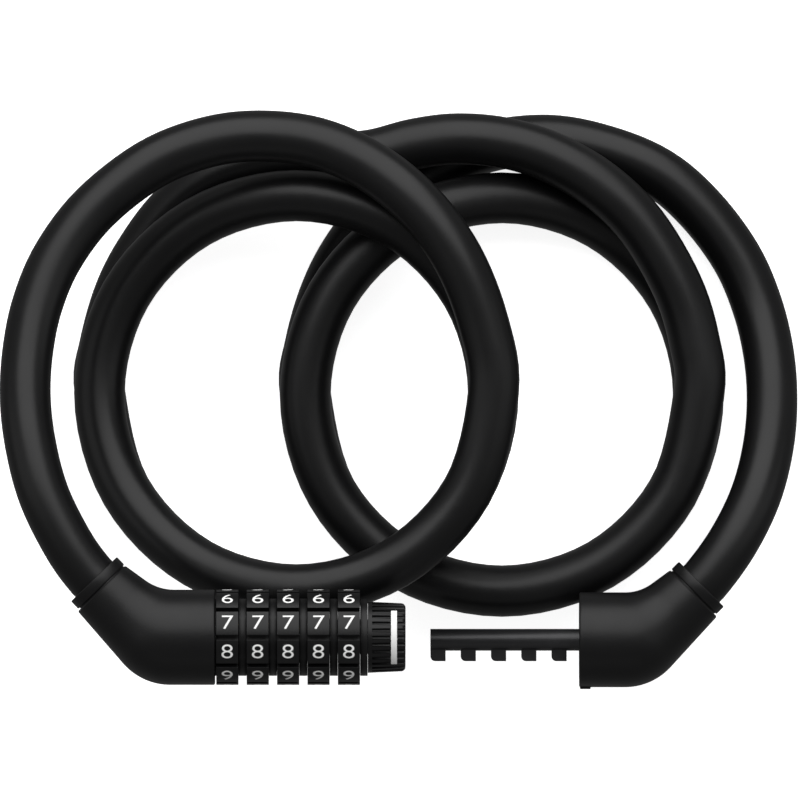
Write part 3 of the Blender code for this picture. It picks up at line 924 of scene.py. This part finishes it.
def make_pin():
    """A round pin with square teeth along one side, eased at every edge."""
    tip = low_x("toothed_pin")
    tail = high_x("toothed_pin")
    pin = rod("toothed_pin_smooth", tip, tail - 1.6 * MM, PIN_AXIS, PIN_R, 64)
    teeth = []
    for number in range(DIAL_COUNT):
        left = tip + 0.02 * MM + number * TOOTH_PITCH
        low = (left, PIN_AXIS.y - TOOTH_REACH, PIN_AXIS.z - TOOTH_THICKNESS / 2)
        high = (left + TOOTH_WIDTH, PIN_AXIS.y - 1.0 * MM, PIN_AXIS.z + TOOTH_THICKNESS / 2)
        tooth = block("tooth", low, high)
        pick(tooth)
        bpy.ops.object.mode_set(mode="EDIT")
        bpy.ops.mesh.select_mode(type="EDGE")
        bpy.ops.mesh.select_all(action="DESELECT")
        bpy.ops.object.mode_set(mode="OBJECT")
        for edge in tooth.data.edges:
            ends = [tooth.data.vertices[index].co for index in edge.vertices]
            edge.select = all(end.x < left + 0.01 * MM and end.y < low[1] + 0.01 * MM for end in ends)
        bpy.ops.object.mode_set(mode="EDIT")
        bpy.ops.mesh.bevel(offset=1.1 * MM, segments=4, affect="EDGES")
        bpy.ops.object.mode_set(mode="OBJECT")
        teeth.append(tooth)
    combine(pin, join(teeth), "UNION")
    combine(pin, rod("pin_tail", tail - 1.7 * MM, tail, PIN_AXIS, 5.6 * MM, 64), "UNION")
    round_edges(pin, 0.14 * MM, 2)
    finish_piece(pin, "lock_base", PIN_STEEL, ("toothed_pin",))


# ---------------------------------------------------------------- floor, light and camera

def make_floor():
    deselect()
    bpy.ops.mesh.primitive_plane_add(size=6.0, location=(0, 0, FLOOR_Z))
    floor = bpy.context.active_object
    floor.name = "floor"
    floor.data.materials.append(pale_floor())
    floor.visible_glossy = False
    floor.visible_diffuse = False


def make_softbox(name, place, size, power):
    data = bpy.data.lights.new(name, "AREA")
    data.shape = "RECTANGLE"
    data.size = size[0]
    data.size_y = size[1]
    data.energy = power
    made = bpy.data.objects.new(name, data)
    bpy.context.collection.objects.link(made)
    made.location = place
    made.rotation_euler = (-Vector(place)).to_track_quat("-Z", "Y").to_euler()
    made.visible_camera = False


def make_studio():
    world = bpy.data.worlds.new("studio")
    world.use_nodes = True
    world.node_tree.nodes["Background"].inputs["Color"].default_value = (1.0, 1.0, 1.0, 1.0)
    world.node_tree.nodes["Background"].inputs["Strength"].default_value = 0.2
    bpy.context.scene.world = world
    make_softbox("far_softbox", (0.0, 1.3, 1.1), (2.4, 2.4), 50.0)
    make_softbox("left_softbox", (-1.5, 0.1, 0.9), (0.8, 1.6), 2.5)
    make_softbox("right_softbox", (1.5, 0.1, 0.9), (0.8, 1.6), 2.5)
    make_softbox("near_softbox", (0.0, -1.4, 0.9), (1.6, 0.6), 0.5)


def make_camera():
    data = bpy.data.cameras.new("camera")
    data.lens = LENS
    data.sensor_width = SENSOR
    data.clip_start = 0.1
    data.clip_end = 30.0
    made = bpy.data.objects.new("camera", data)
    bpy.context.collection.objects.link(made)
    made.location = (0.0, 0.0, PICTURE_WIDTH / SENSOR * LENS + PICTURE_HEIGHT_Z)
    bpy.context.scene.camera = made


make_camera()
make_cable()
dress_frame()
make_shell("dial_elbow_shell_smooth", DIAL_PATH, DIAL_LENGTH, DIAL_ELBOW, DIAL_EDGES, CAVITY_R, 0.0)
make_shell("pin_elbow_shell_smooth", PIN_PATH, PIN_LENGTH, PIN_ELBOW, PIN_EDGES, PIN_R + GAP, PIN_WALL)
make_collar("dial_collar", DIAL_PATH, DIAL_LENGTH, "dial_collar_ring")
make_collar("pin_collar", PIN_PATH, PIN_LENGTH, "pin_collar_ring")
make_index_lug()
make_dials()
make_root_disc()
make_dividers()
make_knob()
make_knob_mark()
make_pin()
make_floor()
make_studio()
bpy.context.scene.view_settings.view_transform = "Standard"
